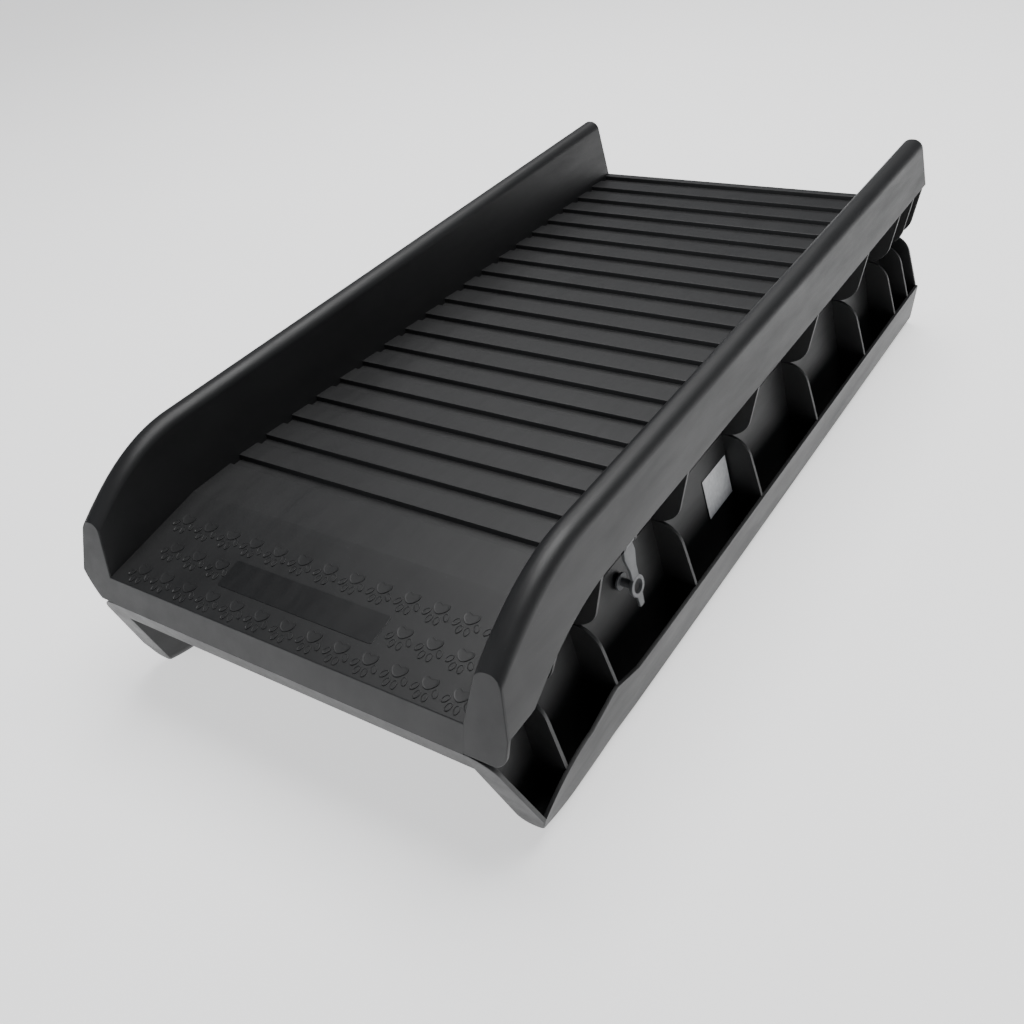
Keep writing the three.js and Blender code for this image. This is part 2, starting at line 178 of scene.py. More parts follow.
# A foot corner of an end plate is given as its x, its rounding and the profile of the rounding,
# for the right and then the left rail.
ground_end = {
    "body": "upper_half", "name": "upper", "ribs": (-322, -264, -141, -18, 105, 228, 316, 356),
    "crown_bend": -275, "crown_fall": 0.0041, "edge_bend": -258, "edge_fall": 0.0036, "edge_bulge": 0,
    "corners": ((198.5, 9.5, 0.5), (199.6, 19, 0.3)),
}
vehicle_end = {
    "body": "lower_half", "name": "lower", "ribs": (-334, -264, -141, -18, 105, 228, 316, 356),
    "crown_bend": -320, "crown_fall": 0.004, "edge_bend": -300, "edge_fall": -0.0042, "edge_bulge": 9,
    "corners": ((GUSSET_CORNER_X, GUSSET_CORNER, 0.5), (GUSSET_CORNER_X, GUSSET_CORNER, 0.5)),
}


def fall(y, bend, rate):
    return rate * (bend - y) ** 2 if y < bend else 0


def crown_level(end, y):
    return HALF_HEIGHT - fall(y, end["crown_bend"], end["crown_fall"])


def skirt_level(end, y):
    bulge = end["edge_bulge"] * max(0, 1 - abs(y - BULGE_MIDDLE) / BULGE_REACH)
    level = SKIRT_EDGE - fall(y, end["edge_bend"], end["edge_fall"]) - bulge
    return min(max(level, LEAST_EDGE), crown_level(end, y) - LEAST_SKIRT)


def panel_fall(y):
    return PANEL_DROP * max((PANEL_BEND - y) / (PANEL_BEND - PANEL_END), 0)


def settle(end, x, h, y):
    """The level that a point of the straight rail section takes at y."""
    crown = crown_level(end, y)
    if x > CROWN_MIDDLE:
        edge = skirt_level(end, y)
        return edge + (h - SKIRT_EDGE) / (HALF_HEIGHT - SKIRT_EDGE) * (crown - edge)
    deck = DECK_UNDERSIDE - panel_fall(y)
    if h <= DECK_UNDERSIDE:
        return UNDERSIDE + (h - UNDERSIDE) / (DECK_UNDERSIDE - UNDERSIDE) * (deck - UNDERSIDE)
    return deck + (h - DECK_UNDERSIDE) / (HALF_HEIGHT - DECK_UNDERSIDE) * (crown - deck)


def settle_vertex(end, vertex):
    """Settles one vertex. The last stretch is drawn out to the slanted end face."""
    x, y, h = vertex.co
    level = settle(end, x, h, y)
    if y < LAST_STRAIGHT:
        share = (y - LAST_STRAIGHT) / (OUTER_END - LAST_STRAIGHT)
        for _ in range(SETTLING_ROUNDS):
            place = LAST_STRAIGHT + share * (OUTER_END + END_INSET + END_SLANT * level - LAST_STRAIGHT)
            level = settle(end, x, h, place)
        vertex.co.y = place
    vertex.co.z = level


def verts_of(made):
    return [g for g in made["geom"] if isinstance(g, bmesh.types.BMVert)]


def slice_across(bm, places):
    for place in places:
        bmesh.ops.bisect_plane(bm, geom=bm.verts[:] + bm.edges[:] + bm.faces[:],
                               plane_co=(0, place, 0), plane_no=(0, 1, 0))


def soften(bm, edges, offset, segments=2, profile=0.5, clamp=False):
    bmesh.ops.bevel(bm, geom=edges, offset=offset, offset_type="OFFSET", segments=segments,
                    profile=profile, affect="EDGES", material=-1, clamp_overlap=clamp)


def sharp_edges(bm, degrees):
    return [e for e in bm.edges if e.calc_face_angle(0) > math.radians(degrees)]


def runs_along(edge):
    return abs(edge.verts[0].co.y - edge.verts[1].co.y) > 1


def side_rail(end):
    bm = bmesh.new()
    corners = [bm.verts.new((x, SHELL_END, h)) for x, h in RAIL_CORNERS]
    strip = [bm.edges.new(pair) for pair in zip(corners, corners[1:])]
    drawn = bmesh.ops.extrude_edge_only(bm, edges=strip)
    bmesh.ops.translate(bm, verts=verts_of(drawn), vec=(0, OUTER_END - SHELL_END, 0))
    crown = [e for e in bm.edges if runs_along(e) and e.verts[0].co.z > HALF_HEIGHT - 1]
    soften(bm, crown, CROWN_ROUNDING, 8)
    slice_across(bm, [OUTER_END + FINE_SLICE * i for i in range(1, 27)])
    slice_across(bm, [FIRST_COARSE_SLICE + COARSE_SLICE * i for i in range(10)])
    for vertex in bm.verts:
        settle_vertex(end, vertex)
    bmesh.ops.recalc_face_normals(bm, faces=bm.faces[:])
    crest = next(f for f in bm.faces if f.calc_center_median().z > 60 and abs(f.normal.z) > 0.9)
    if crest.normal.z < 0:
        bmesh.ops.reverse_faces(bm, faces=bm.faces[:])
    bmesh.ops.solidify(bm, geom=bm.faces[:], thickness=WALL)
    for vertex in bm.verts:
        vertex.co.z = max(vertex.co.z, UNDERSIDE)
    bmesh.ops.recalc_face_normals(bm, faces=bm.faces[:])
    rim = [e for e in sharp_edges(bm, 60)
           if runs_along(e) and (e.verts[0].co.x + e.verts[1].co.x) / 2 > CROWN_MIDDLE + 5]
    soften(bm, rim, 0.6)
    return bm


def plate(outline, near, rounded=(), thick=WALL):
    """A plate across the half from an outline in x and h, with (corner number, rounding) pairs."""
    bm = bmesh.new()
    corners = [bm.verts.new((x, near, h)) for x, h in outline]
    bm.faces.new(corners)
    for number, rounding in rounded:
        bmesh.ops.bevel(bm, geom=[corners[number]], offset=rounding, offset_type="OFFSET", segments=9,
                        profile=0.5, affect="VERTICES", material=-1)
    drawn = bmesh.ops.extrude_face_region(bm, geom=bm.faces[:])
    bmesh.ops.translate(bm, verts=verts_of(drawn), vec=(0, thick, 0))
    bmesh.ops.recalc_face_normals(bm, faces=bm.faces[:])
    return bm


# ---------------------------------------------------------------------------------------
# The gussets inside the rails, 3 mm thick and moulded in, tie the wall to the skirt at each rib
# and at the hinge end. Their free corner is rounded and their edges are slightly broken.

GUSSET_TOP = (
    (198.4, SKIRT_EDGE + 0.8), (191.2, 96), (184.2, 98.4), (177.4, 96), (166.8, DECK_UNDERSIDE),
    (162.5, UNDERSIDE),
)
GUSSET_FREE_FROM = 165


def gusset(end, near):
    top = [(x, settle(end, x, h, near)) for x, h in GUSSET_TOP]
    bm = plate([(GUSSET_CORNER_X, UNDERSIDE), *top], near, [(0, GUSSET_CORNER)])
    free = [e for e in sharp_edges(bm, 60)
            if not runs_along(e) and min(v.co.x for v in e.verts) > GUSSET_FREE_FROM
            and max(v.co.z for v in e.verts) < SKIRT_EDGE + 1]
    soften(bm, free, 0.45)
    return bm


# ---------------------------------------------------------------------------------------
# The end plates close each rail's outer end and run on into the lip as one slanted front face.
# They are moulded in, and each foot corner is rounded by itself.

END_PLATE_TOP = (
    (199.9, SKIRT_EDGE), (193.45, 99.95), (175.05, 99.95), (165.5, DECK_UNDERSIDE), (161.2, UNDERSIDE),
)


def end_plate(end, corner):
    """The rail's section at its outer end, filled in."""
    corner_x, corner_offset, corner_profile = corner
    bm = bmesh.new()
    bm.faces.new([bm.verts.new((x, OUTER_END, h)) for x, h in ((corner_x, UNDERSIDE), *END_PLATE_TOP)])
    drawn = bmesh.ops.extrude_face_region(bm, geom=bm.faces[:])
    bmesh.ops.translate(bm, verts=verts_of(drawn), vec=(0, WALL, 0))
    crown = [e for e in bm.edges if runs_along(e) and min(v.co.z for v in e.verts) > HALF_HEIGHT - 1]
    soften(bm, crown, CROWN_ROUNDING, 8)
    for vertex in bm.verts:
        x, near, h = vertex.co
        level, y = h, near
        if x < CROWN_MIDDLE or h > 1:
            for _ in range(SETTLING_ROUNDS):
                level = settle(end, x, h, y)
                y = near + END_SLANT * level
        vertex.co = Vector((x, near + END_SLANT * level, level))
    bmesh.ops.recalc_face_normals(bm, faces=bm.faces[:])
    foot = [e for e in bm.edges
            if max(v.co.z for v in e.verts) < 1 and min(v.co.x for v in e.verts) > corner_x - 0.1]
    soften(bm, foot, corner_offset, 9, corner_profile)
    front = [e for e in sharp_edges(bm, 50)
             if max(v.co.y - END_SLANT * v.co.z for v in e.verts) < OUTER_END + 0.1]
    soften(bm, front, 0.9, 3)
    return bm


# ---------------------------------------------------------------------------------------
# The tread: a 3 mm deck pressed up into 20 raised planks with a channel in front of each, then a
# flat stretch, the sloping entry panel and the lip that turns down to the floor. It is moulded in
# one with the rails.

PLANK_COUNT = 20
PLANK_PITCH = 32.4
CHANNEL_WIDTH = 10.8
STEP_RUN = 0.6
FIRST_PLANK = -239.0
CHANNEL_TOP = 35.0
PLANK_NEAR_TOP = 39.5
TREAD_HALF_WIDTH = 167.2


def tread():
    profile = [(OUTER_END, UNDERSIDE), (PANEL_END, PLANK_TOP - PANEL_DROP), (PANEL_BEND, PLANK_TOP)]
    for i in range(PLANK_COUNT):
        start = FIRST_PLANK + i * PLANK_PITCH
        profile += [(start - CHANNEL_WIDTH, PLANK_TOP), (start - CHANNEL_WIDTH + STEP_RUN, CHANNEL_TOP)]
        profile += [(start - STEP_RUN, CHANNEL_TOP), (start, PLANK_NEAR_TOP)]
    profile.append((SHELL_END, PLANK_NEAR_TOP))
    bm = bmesh.new()
    ends = [bm.verts.new((x, *profile[0])) for x in (-TREAD_HALF_WIDTH, TREAD_HALF_WIDTH)]
    edge = bm.edges.new(ends)
    for (y, h), (next_y, next_h) in zip(profile, profile[1:]):
        drawn = bmesh.ops.extrude_edge_only(bm, edges=[edge])
        bmesh.ops.translate(bm, verts=verts_of(drawn), vec=(0, next_y - y, next_h - h))
        edge = next(g for g in drawn["geom"] if isinstance(g, bmesh.types.BMEdge))
    bmesh.ops.recalc_face_normals(bm, faces=bm.faces[:])
    if sum(f.normal.z for f in bm.faces) < 0:
        bmesh.ops.reverse_faces(bm, faces=bm.faces[:])
    soften(bm, sharp_edges(bm, 30), 0.7)
    bmesh.ops.solidify(bm, geom=bm.faces[:], thickness=WALL)
    for vertex in bm.verts:
        vertex.co.z = max(vertex.co.z, UNDERSIDE)
        vertex.co.y = min(max(vertex.co.y, OUTER_END), SHELL_END)
    bmesh.ops.recalc_face_normals(bm, faces=bm.faces[:])
    return bm


# ---------------------------------------------------------------------------------------
# The ribs: eight 3 mm plates under the tread of each half, moulded in from one rail's wall to the
# other's. Their tops are let half a wall's thickness into the tread.

CROSS_WALL_FOOT = 163.5
CROSS_WALL_TOP = 166.5


def cross_wall(near, level):
    foot = [(-CROSS_WALL_FOOT, UNDERSIDE), (CROSS_WALL_FOOT, UNDERSIDE)]
    return plate([*foot, (CROSS_WALL_TOP, level), (-CROSS_WALL_TOP, level)], near)


def tread_level(y):
    past_plank = (y - FIRST_PLANK + CHANNEL_WIDTH) % PLANK_PITCH
    if y > FIRST_PLANK - CHANNEL_WIDTH and past_plank < CHANNEL_WIDTH:
        return CHANNEL_TOP
    return PLANK_TOP - panel_fall(y)


def rib(near):
    lowest = min(tread_level(near - 1), tread_level(near + WALL + 1))
    return cross_wall(near, lowest - WALL / 2)


# ---------------------------------------------------------------------------------------
# The hinge wall closes the deck at the +y end and is moulded in too. It carries every second
# knuckle of a piano-style hinge and leaves room for those of the other half.

KNUCKLE_RADIUS = 8.0
KNUCKLE_CELL = 50.0
KNUCKLE_LENGTH = 44.0
KNUCKLE_ROOM = 9.0
HINGE_Y = 384.5
BORE_RADIUS = 3.3
CAP_ROOM_START = 150
CAP_ROOM_LENGTH = 11


def hinge_wall():
    return cross_wall(SHELL_END - WALL, PLANK_NEAR_TOP - WALL / 2)


def barrel(radius, x, length, y=HINGE_Y, h=0.0, rounding=0.0):
    """A round bar across the half, from x along +x."""
    bm = bmesh.new()
    place = Matrix.Translation((x + length / 2, y, h)) @ Matrix.Rotation(math.pi / 2, 4, "Y")
    bmesh.ops.create_cone(bm, cap_ends=True, segments=48, radius1=radius, radius2=radius,
                          depth=length, matrix=place)
    if rounding:
        soften(bm, sharp_edges(bm, 60), rounding, 3)
    return bm


def knuckles_and_rooms():
    knuckles, rooms = [], []
    for i in range(6):
        x = (i - 3) * KNUCKLE_CELL
        if i % 2 == 0:
            start = x + (KNUCKLE_CELL - KNUCKLE_LENGTH) / 2
            knuckles.append(barrel(KNUCKLE_RADIUS, start, KNUCKLE_LENGTH, rounding=0.8))
        else:
            rooms.append(barrel(KNUCKLE_ROOM, x, KNUCKLE_CELL))
    for start in (CAP_ROOM_START, -CAP_ROOM_START - CAP_ROOM_LENGTH):
        rooms.append(barrel(KNUCKLE_ROOM, start, CAP_ROOM_LENGTH))
    return knuckles, rooms


# ---------------------------------------------------------------------------------------
# The two mouldings. The parts above overlap and are welded into one closed skin for each half, which
# is cleared for the other half's knuckles and the rod's caps, and bored for the rod. The lower half
# lies turned over.

GUSSET_SETBACK = 0.2
CREASE = 32
UPPER_PLACE = Matrix.Translation((0, 0, 0.1)) @ Matrix.Scale(0.001, 4)
LOWER_PLACE = Matrix.Translation((0, 0, 0.1)) @ Matrix.Rotation(math.pi, 4, "Y") @ Matrix.Scale(0.001, 4)


def plain_object(bm):
    mesh = bpy.data.meshes.new("part")
    bm.to_mesh(mesh)
    bm.free()
    made = bpy.data.objects.new("part", mesh)
    bpy.context.scene.collection.objects.link(made)
    return made


def welded(parts, cuts=()):
    """One closed mesh from overlapping closed parts, less the cuts."""
    base = plain_object(parts[0])
    for part, action in [(p, "UNION") for p in parts[1:]] + [(c, "DIFFERENCE") for c in cuts]:
        tool = plain_object(part)
        join = base.modifiers.new("join", "BOOLEAN")
        join.solver = "MANIFOLD"
        join.operation = action
        join.object = tool
        result = bpy.data.meshes.new_from_object(base.evaluated_get(bpy.context.evaluated_depsgraph_get()))
        base.modifiers.clear()
        base.data = result
        bpy.data.objects.remove(tool)
    bm = bmesh.new()
    bm.from_mesh(base.data)
    bpy.data.objects.remove(base)
    return bm


def mirrored(bm):
    other = bm.copy()
    bmesh.ops.scale(other, verts=other.verts[:], vec=(-1, 1, 1))
    bmesh.ops.reverse_faces(other, faces=other.faces[:])
    return other


def piece(name, bm, place, finish, body, stands_for=()):
    """Puts a finished mesh in its place in the ramp and ties it to its body."""
    bm.transform(place)
    for face in bm.faces:
        face.smooth = True
    for edge in bm.edges:
        edge.smooth = edge.calc_face_angle(0) < math.radians(CREASE)
    mesh = bpy.data.meshes.new(name)
    bm.to_mesh(mesh)
    bm.free()
    mesh.materials.append(finish)
    made = bpy.data.objects.new(name, mesh)
    bpy.context.scene.collection.objects.link(made)
    made.modifiers.new("even_shading", "WEIGHTED_NORMAL").keep_sharp = True
    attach(made, body)
    if stands_for:
        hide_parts(*stands_for)


def moulding(end, place):
    rail = side_rail(end)
    right, left = end["corners"]
    parts = [tread(), hinge_wall(), rail, mirrored(rail)]
    parts += [end_plate(end, right), mirrored(end_plate(end, left))]
    for y in (*end["ribs"], SHELL_END - WALL / 2 - GUSSET_SETBACK):
        part = gusset(end, y - WALL / 2)
        parts += [part, mirrored(part)]
    parts += [rib(y - WALL / 2) for y in end["ribs"]]
    knuckles, rooms = knuckles_and_rooms()
    shell = welded(parts, rooms)
    base = welded([shell, *knuckles], [barrel(BORE_RADIUS, -HALF_WIDTH, 2 * HALF_WIDTH)])
    name = end["name"]
    nodes = [f"{name}_{part}" for part in ("tread", "end_lip", "hinge_wall", "rail_left", "rail_right")]
    nodes += [f"{name}_rib_{i + 1}" for i in range(8)]
    piece(f"{name}_moulding", base, place, shell_black, end["body"], nodes)


moulding(ground_end, UPPER_PLACE)
moulding(vehicle_end, LOWER_PLACE)

# ---------------------------------------------------------------------------------------
# Paw prints stand 0.5 mm proud of the upper entry panel for grip, in three rows: a heel pad towards
# the planks and four toes towards the ground. They are part of the moulding.

PRINT_PITCH = 24.9
PRINT_HEIGHT = 0.5
PRINT_ROOT = 0.5
PRINT_REACH = 155
MIDDLE_PRINT_X = 3
PAD_Y = 4.6
PAD_FLARE = 0.06
NOTCH_START = 6
NOTCH_DEPTH = 2.2
NOTCH_HALF_WIDTH = 3.6
TOES = ((-8.2, -1.2, -0.5), (-3.1, -5.8, -0.16), (3.1, -5.8, 0.16), (8.2, -1.2, 0.5))

# Each row's place along the half, its shift in prints, and how far it stays clear of the middle.
PRINT_ROWS = ((-322, 0, 0), (-348, 0.5, 84), (-374, 0.1, 0))


def dome(bm, x, y, half_width, half_length, turn, segments):
    """A low oval with a raised rim round a shallow dish, standing on z = 0."""
    made = bmesh.ops.create_circle(bm, cap_ends=True, radius=1, segments=segments)
    face = made["verts"][0].link_faces[0]
    bmesh.ops.translate(bm, verts=made["verts"], vec=(0, 0, -PRINT_ROOT))
    drawn = bmesh.ops.extrude_face_region(bm, geom=[face])
    ring = verts_of(drawn)
    bmesh.ops.translate(bm, verts=ring, vec=(0, 0, PRINT_ROOT + PRINT_HEIGHT))
    bmesh.ops.scale(bm, verts=ring, vec=(0.94, 0.94, 1))
    top = next(g for g in drawn["geom"] if isinstance(g, bmesh.types.BMFace))
    every = set(made["verts"]) | set(ring)
    for thickness, step in ((0.09, 0.05), (0.14, -0.3)):
        bmesh.ops.inset_individual(bm, faces=[top], thickness=thickness)
        bmesh.ops.translate(bm, verts=top.verts[:], vec=(0, 0, step))
        every |= set(top.verts)
    size = Matrix.Diagonal((half_width, half_length, 1, 1))
    place = Matrix.Translation((x, y, 0)) @ Matrix.Rotation(turn, 4, "Z") @ size
    bmesh.ops.transform(bm, verts=list(every), matrix=place)
    return every


def paw(bm, x, y):
    pad = dome(bm, 0, PAD_Y, 6.4, 5.4, 0, 18)
    for vertex in pad:
        vertex.co.x *= 1 + PAD_FLARE * (vertex.co.y - PAD_Y)
        if vertex.co.y > NOTCH_START:
            vertex.co.y -= NOTCH_DEPTH * max(0, 1 - abs(vertex.co.x) / NOTCH_HALF_WIDTH)
    every = set(pad)
    for toe_x, toe_y, turn in TOES:
        every |= dome(bm, toe_x, toe_y, 2.2, 3.7, turn, 12)
    bmesh.ops.translate(bm, verts=list(every), vec=(x, y, 0))


panel_slope = math.atan2(PANEL_DROP, PANEL_BEND - PANEL_END)


def down_panel(y):
    """How far a place along the half lies down the panel's slope from its bend, as a negative length."""
    return (y - PANEL_BEND) * (1 / math.cos(panel_slope))


def on_panel(bm):
    """Lays a pattern drawn on z = 0 on the sloping panel, with the bend along its x axis."""
    bm.transform(Matrix.Translation((0, PANEL_BEND, PLANK_TOP)) @ Matrix.Rotation(panel_slope, 4, "X"))
    return bm


prints = bmesh.new()
for row_y, shift, clear in PRINT_ROWS:
    for column in range(-7, 8):
        x = MIDDLE_PRINT_X + PRINT_PITCH * (column + shift)
        if clear < abs(x) < PRINT_REACH:
            paw(prints, x, down_panel(row_y))
bmesh.ops.recalc_face_normals(prints, faces=prints.faces[:])
piece("upper_paw_prints", on_panel(prints), UPPER_PLACE, shell_black, "upper_half")

# ---------------------------------------------------------------------------------------
# The smooth plate in the middle of the upper entry panel, a slightly raised field of the same
# moulding that was polished in the mould. It is left blank.

PLATE_Y = -347.8
PLATE_WIDTH = 148
PLATE_LENGTH = 24.7
PLATE_MIDDLE_LEVEL = -0.15

plate_black = moulded_black("plate_black", (0.0065, 0.0067, 0.0072), 0, 0.38)


def block(middle, sizes):
    bm = bmesh.new()
    bmesh.ops.create_cube(bm, size=1, matrix=Matrix.Translation(middle) @ Matrix.Diagonal((*sizes, 1)))
    return bm


blank = block((0, down_panel(PLATE_Y), PLATE_MIDDLE_LEVEL), (PLATE_WIDTH, PLATE_LENGTH, 1))
soften(blank, [e for e in blank.edges if abs(e.verts[0].co.z - e.verts[1].co.z) > 0.5], 2, 4)
soften(blank, [e for e in sharp_edges(blank, 57) if min(v.co.z for v in e.verts) > 0.2], 0.25)
piece("upper_blank_plate", on_panel(blank), UPPER_PLACE, plate_black, "upper_half")

# ---------------------------------------------------------------------------------------
# A blank paper label stuck in one pocket of the lower half's right rail. Its free corners are
# slightly lifted and curled.

LABEL_WIDTH = 42.0
LABEL_HEIGHT = 36.0
LABEL_MIDDLE = (169.3, -43, 63.5)
LABEL_LEAN = math.atan2(5, 32)
SIDE_CURL = 5
FOOT_CURL = 7


def mottle(tree, bsdf, value, dark, light):
    """Runs the colour from dark to light over the middle of a value's range."""
    tree.links.new(ramp(tree, value, ((0.3, dark), (0.7, light))), bsdf.inputs["Base Color"])


def vary_roughness(tree, bsdf, value, low, high):
    tree.links.new(spread(tree, value, 0.3, 0.7, low, high), bsdf.inputs["Roughness"])


paper, tree, bsdf, where = new_finish("label_paper")
mottle(tree, bsdf, noise(tree, where, 260, 4, 0.6), (0.62, 0.63, 0.64), (0.78, 0.79, 0.8))
vary_roughness(tree, bsdf, noise(tree, where, 90, 2), 0.4, 0.6)
bumped(tree, bsdf, ((noise(tree, where, 60, 2), 0.4, 0.0006),))

label = bmesh.new()
bmesh.ops.create_grid(label, x_segments=12, y_segments=12, size=0.5)
for vertex in label.verts:
    u, v = vertex.co.x, vertex.co.y
    lift = 0.5 + SIDE_CURL * max(0, abs(u) - 0.32) ** 2 + FOOT_CURL * max(0, -v - 0.3) ** 2
    vertex.co = Vector((lift, u * LABEL_WIDTH, v * LABEL_HEIGHT))
bmesh.ops.recalc_face_normals(label, faces=label.faces[:])
bmesh.ops.solidify(label, geom=label.faces[:], thickness=0.15)
bmesh.ops.recalc_face_normals(label, faces=label.faces[:])
label.transform(Matrix.Translation(LABEL_MIDDLE) @ Matrix.Rotation(-LABEL_LEAN, 4, "Y"))
piece("paper_label", label, Matrix.Scale(0.001, 4), paper, "lower_half")

# ---------------------------------------------------------------------------------------
# The latch: on each side a grey plastic strap hangs from a steel pin in a black bracket inside the
# upper rail, and its eye hooks over a grey plastic peg in the lower rail. The tab below the eye is
# for a finger.

LATCH_X = 176.0
LATCH_Y = -200.0
LATCH_LEVEL = 26.0
REACH = 40.0
SWING = math.radians(8)
BLADE = (
    (-5.5, 0), (5.5, 0), (7.5, -12), (4.4, -24), (4.4, -34), (-4.4, -34), (-4.4, -24), (-7.5, -12),
)
BLADE_THICK = 2.6
TAB = ((-4, -REACH - 5), (4, -REACH - 5), (2.8, -REACH - 17.6), (-2.8, -REACH - 17.6))
TAB_THICK = 2.4
RING_RADIUS = 8.7
RING_THICK = 3
EYE_RADIUS = 5.6
BOSS_RADIUS = 4.4
BOSS_LENGTH = 12
PIN_RADIUS = 2.2
PIN_LENGTH = 24
PIN_BORE = 2.5
BRACKET_LENGTH = 26
BRACKET_THICK = 2.5
BRACKET_LOW = LATCH_LEVEL - 6
BRACKET_HIGH = LATCH_LEVEL + 5
LUG_REACH = 4.5
LUG_ROUNDING = 3.5
LUG_INSET = 6.5
WALL_FOOT_X = 164.4
WALL_LEAN = 4.4 / 32
PEG_RADIUS = 3.2
PEG_LENGTH = 10.5
FLANGE_RADIUS = 7

strap_grey, tree, bsdf, where = new_finish("strap_grey")
mottle(tree, bsdf, noise(tree, where, 60, 4), (0.1, 0.103, 0.106), (0.15, 0.153, 0.157))
vary_roughness(tree, bsdf, noise(tree, where, 160, 3), 0.32, 0.5)
bumped(tree, bsdf, ((noise(tree, where, 1400, 2), 0.3, 0.0001),))


def rounded_solid(bm, offset, segments=2, angle=40):
    soften(bm, sharp_edges(bm, angle), offset, segments, clamp=True)
    return bm


def side_plate(outline, thick):
    """A plate in y and z, half its thickness on either side of x = 0."""
    bm = bmesh.new()
    bm.faces.new([bm.verts.new((-thick / 2, y, z)) for y, z in outline])
    drawn = bmesh.ops.extrude_face_region(bm, geom=bm.faces[:])
    bmesh.ops.translate(bm, verts=verts_of(drawn), vec=(thick, 0, 0))
    bmesh.ops.recalc_face_normals(bm, faces=bm.faces[:])
    return bm


def bar_along(radius, x, y, z, length, rounding=0.0):
    """A round bar along the half, centred on y."""
    bm = bmesh.new()
    place = Matrix.Translation((x, y, z)) @ Matrix.Rotation(math.pi / 2, 4, "X")
    bmesh.ops.create_cone(bm, cap_ends=True, segments=40, radius1=radius, radius2=radius,
                          depth=length, matrix=place)
    if rounding:
        rounded_solid(bm, rounding, 3, 60)
    return bm


def strap():
    """The strap, drawn hanging straight down from its pin and then swung out a little."""
    blade = rounded_solid(side_plate(BLADE, BLADE_THICK), 0.6)
    tab = rounded_solid(side_plate(TAB, TAB_THICK), 0.5)
    ring = barrel(RING_RADIUS, -RING_THICK / 2, RING_THICK, y=0, h=-REACH, rounding=0.7)
    boss = bar_along(BOSS_RADIUS, 0, 0, 0, BOSS_LENGTH, 0.6)
    eye = barrel(EYE_RADIUS, -5, 10, y=0, h=-REACH)
    bm = welded([blade, ring, tab, boss], [eye, bar_along(PIN_BORE, 0, 0, 0, 30)])
    bm.transform(Matrix.Translation((LATCH_X, LATCH_Y, LATCH_LEVEL)) @ Matrix.Rotation(-SWING, 4, "Y"))
    return bm


def bracket():
    """A back plate on the rail's leaning wall with a lug on either side of the strap's boss."""
    low_x = WALL_FOOT_X + WALL_LEAN * BRACKET_LOW
    high_x = WALL_FOOT_X + WALL_LEAN * BRACKET_HIGH
    tip_x = LATCH_X + LUG_REACH
    back = ((low_x, BRACKET_LOW), (low_x + BRACKET_THICK, BRACKET_LOW),
            (high_x + BRACKET_THICK, BRACKET_HIGH), (high_x, BRACKET_HIGH))
    lug = ((low_x, BRACKET_LOW), (tip_x, BRACKET_LOW + 1.5),
           (tip_x, BRACKET_HIGH - 0.5), (high_x, BRACKET_HIGH))
    parts = [rounded_solid(plate(back, LATCH_Y - BRACKET_LENGTH / 2, thick=BRACKET_LENGTH), 0.5)]
    for near in (LATCH_Y - LUG_INSET - WALL, LATCH_Y + LUG_INSET):
        parts.append(rounded_solid(plate(lug, near, ((1, LUG_ROUNDING), (2, LUG_ROUNDING))), 0.35))
    return welded(parts, [bar_along(PIN_BORE, LATCH_X, LATCH_Y, LATCH_LEVEL, 40)])


def peg():
    level = REACH - LATCH_LEVEL
    flange = barrel(FLANGE_RADIUS, 167.5, 2, y=LATCH_Y, h=level, rounding=0.5)
    stem = barrel(PEG_RADIUS, 168, PEG_LENGTH, y=LATCH_Y, h=level, rounding=0.9)
    return welded([flange, stem])


steel, tree, bsdf, where = new_finish("drawn_steel")
bsdf.inputs["Metallic"].default_value = 1
lines = noise(tree, stretched(tree, where, 40, 900, 900), 1, 3)
mottle(tree, bsdf, lines, (0.42, 0.43, 0.44), (0.6, 0.61, 0.62))
vary_roughness(tree, bsdf, noise(tree, where, 300, 3), 0.25, 0.42)
bumped(tree, bsdf, ((noise(tree, stretched(tree, where, 60, 1500, 1500), 1, 2), 0.2, 0.0001),))


def for_hand(bm, hand, turned_over=False):
    """A part drawn at +x, mirrored where that isn't its hand. On the lower half, +x is the left."""
    return mirrored(bm) if (hand == "left") != turned_over else bm


for hand in ("right", "left"):
    piece(f"strap_{hand}_fine", for_hand(strap(), hand), UPPER_PLACE, strap_grey, f"strap_{hand}",
          [f"latch_strap_{hand}"])
    piece(f"bracket_{hand}_fine", for_hand(bracket(), hand), UPPER_PLACE, shell_black, "upper_half",
          [f"latch_bracket_{hand}"])
    pin = bar_along(PIN_RADIUS, LATCH_X, LATCH_Y, LATCH_LEVEL, PIN_LENGTH, 0.5)
    piece(f"pin_{hand}_fine", for_hand(pin, hand), UPPER_PLACE, steel, "upper_half",
          [f"latch_pin_{hand}"])
    piece(f"peg_{hand}_fine", for_hand(peg(), hand, True), LOWER_PLACE, strap_grey, "lower_half",
          [f"latch_peg_{hand}"])

# ---------------------------------------------------------------------------------------
# The hinge rod, 6 mm drawn steel, runs through all the knuckles and is held by a black rubber cap
# pushed on each end.

ROD_RADIUS = 3
ROD_LENGTH = 310
CAP_RADIUS = 6
CAP_START = 151
CAP_LENGTH = 7

rubber, tree, bsdf, where = new_finish("black_rubber")
mottle(tree, bsdf, noise(tree, where, 40, 3), (0.012, 0.012, 0.013), (0.022, 0.022, 0.023))
vary_roughness(tree, bsdf, noise(tree, where, 200, 3), 0.65, 0.85)
bumped(tree, bsdf, ((noise(tree, where, 1200, 3), 0.4, 0.00015),))

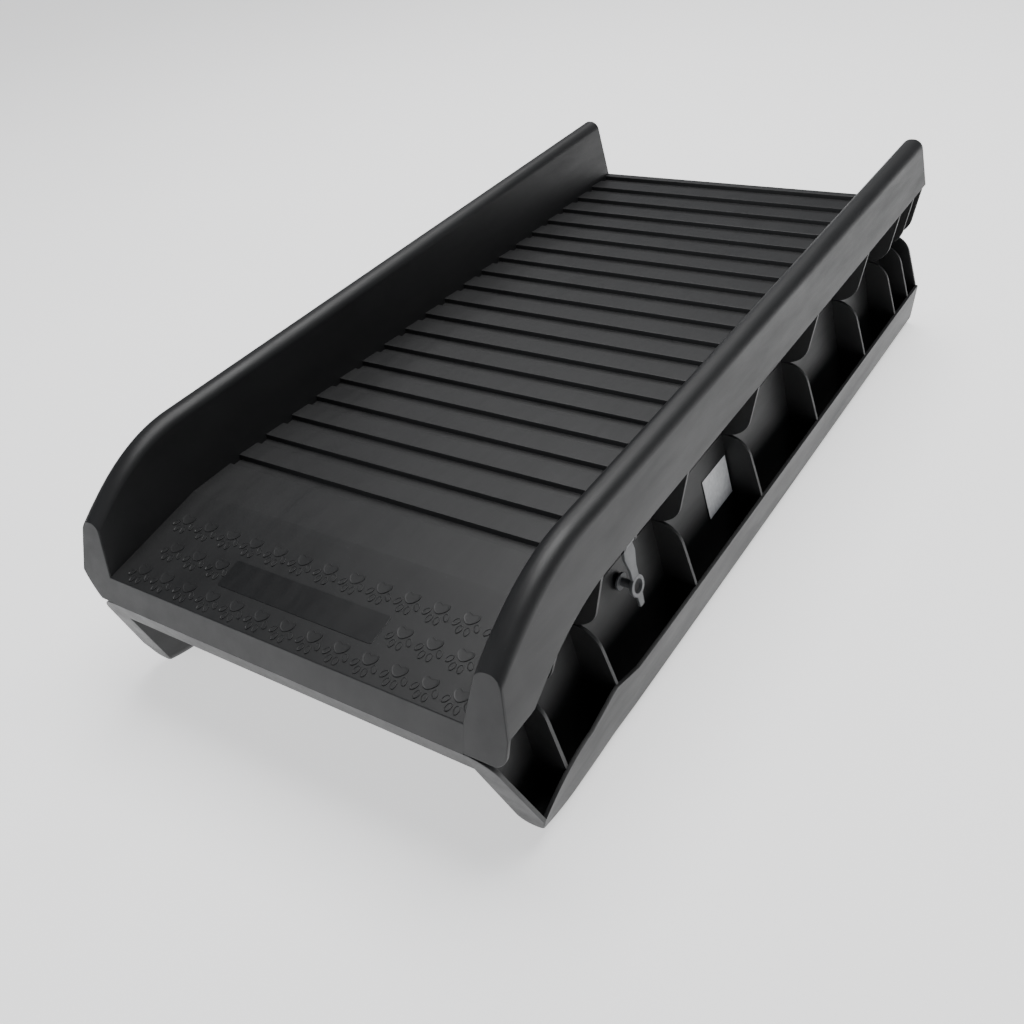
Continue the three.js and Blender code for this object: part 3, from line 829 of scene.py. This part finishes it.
rod = barrel(ROD_RADIUS, -ROD_LENGTH / 2, ROD_LENGTH, rounding=0.6)
piece("hinge_rod_fine", rod, LOWER_PLACE, steel, "lower_half", ["hinge_rod"])
for hand in ("right", "left"):
    cup = barrel(CAP_RADIUS, CAP_START, CAP_LENGTH, rounding=1.2)
    cap = welded([cup], [barrel(BORE_RADIUS, CAP_START - 1, 4.3)])
    piece(f"rod_cap_{hand}_fine", for_hand(cap, hand, True), LOWER_PLACE, rubber, "lower_half",
          [f"hinge_rod_cap_{hand}"])

# ---------------------------------------------------------------------------------------
# Rubber feet pushed over the first rib of each half, which grip the ground or the vehicle's sill
# when the ramp is open.

FOOT_X = 110
FOOT_LEVEL = 3.4
FOOT_SIZES = (30, 9, 9.2)
GROOVE_LEVEL = 5
GROOVE_SIZES = (40, 3.6, 10.3)

for end, place in ((ground_end, UPPER_PLACE), (vehicle_end, LOWER_PLACE)):
    name = end["name"]
    y = end["ribs"][0]
    for hand in ("right", "left"):
        solid = rounded_solid(block((FOOT_X, y, FOOT_LEVEL), FOOT_SIZES), 1.2, 3)
        foot = welded([solid], [block((FOOT_X, y, GROOVE_LEVEL), GROOVE_SIZES)])
        piece(f"{name}_foot_{hand}_fine", for_hand(foot, hand, end is vehicle_end), place, rubber,
              end["body"], [f"{name}_foot_{hand}"])

# ---------------------------------------------------------------------------------------
# The studio: a nearly white floor that glows a little, a broad softbox overhead, a weak one behind
# on the left, and a weak bluish fill low in front on the left.

paper_floor, tree, bsdf, where = new_finish("studio_floor")
mottle(tree, bsdf, noise(tree, where, 3, 2), (0.9, 0.9, 0.9), (0.93, 0.93, 0.93))
bsdf.inputs["Roughness"].default_value = 0.9
bsdf.inputs["Emission Color"].default_value = (1, 1, 1, 1)
bsdf.inputs["Emission Strength"].default_value = 1
ground = bmesh.new()
bmesh.ops.create_grid(ground, x_segments=2, y_segments=2, size=12)
floor_mesh = bpy.data.meshes.new("floor")
ground.to_mesh(floor_mesh)
ground.free()
floor_mesh.materials.append(paper_floor)
floor = bpy.data.objects.new("floor", floor_mesh)
bpy.context.scene.collection.objects.link(floor)

world = bpy.data.worlds.new("studio")
bpy.context.scene.world = world
world.use_nodes = True
world.node_tree.nodes["Background"].inputs["Color"].default_value = (0.86, 0.9, 1.0, 1)
world.node_tree.nodes["Background"].inputs["Strength"].default_value = 0.12


def softbox(name, place, target, width, height, power, colour=(1, 1, 1)):
    data = bpy.data.lights.new(name, "AREA")
    data.shape = "RECTANGLE"
    data.size = width
    data.size_y = height
    data.energy = power
    data.color = colour
    made = bpy.data.objects.new(name, data)
    made.location = place
    made.rotation_euler = (Vector(target) - Vector(place)).to_track_quat("-Z", "Y").to_euler()
    bpy.context.scene.collection.objects.link(made)


softbox("overhead", (0.1, 0.5, 2.2), (0, 0, 0), 2.0, 1.6, 58)
softbox("back", (-0.9, 1.5, 1.5), (0, 0, 0), 1.2, 0.9, 5)
softbox("front_fill", (-0.9, -2.1, 0.8), (0, 0, 0.1), 1.3, 1.0, 8, (0.94, 0.96, 1))

# ---------------------------------------------------------------------------------------
# The camera looks down on the near right corner of the folded ramp from about a metre away, with a
# slight roll.

camera_data = bpy.data.cameras.new("camera")
camera_data.sensor_width = 36
camera_data.lens = 38.519
camera = bpy.data.objects.new("camera", camera_data)
camera.location = (0.5021, -0.70413, 0.60656)
camera.rotation_euler = tuple(math.radians(a) for a in (53.211, 8.5925, 33.5833))
bpy.context.scene.collection.objects.link(camera)
bpy.context.scene.camera = camera
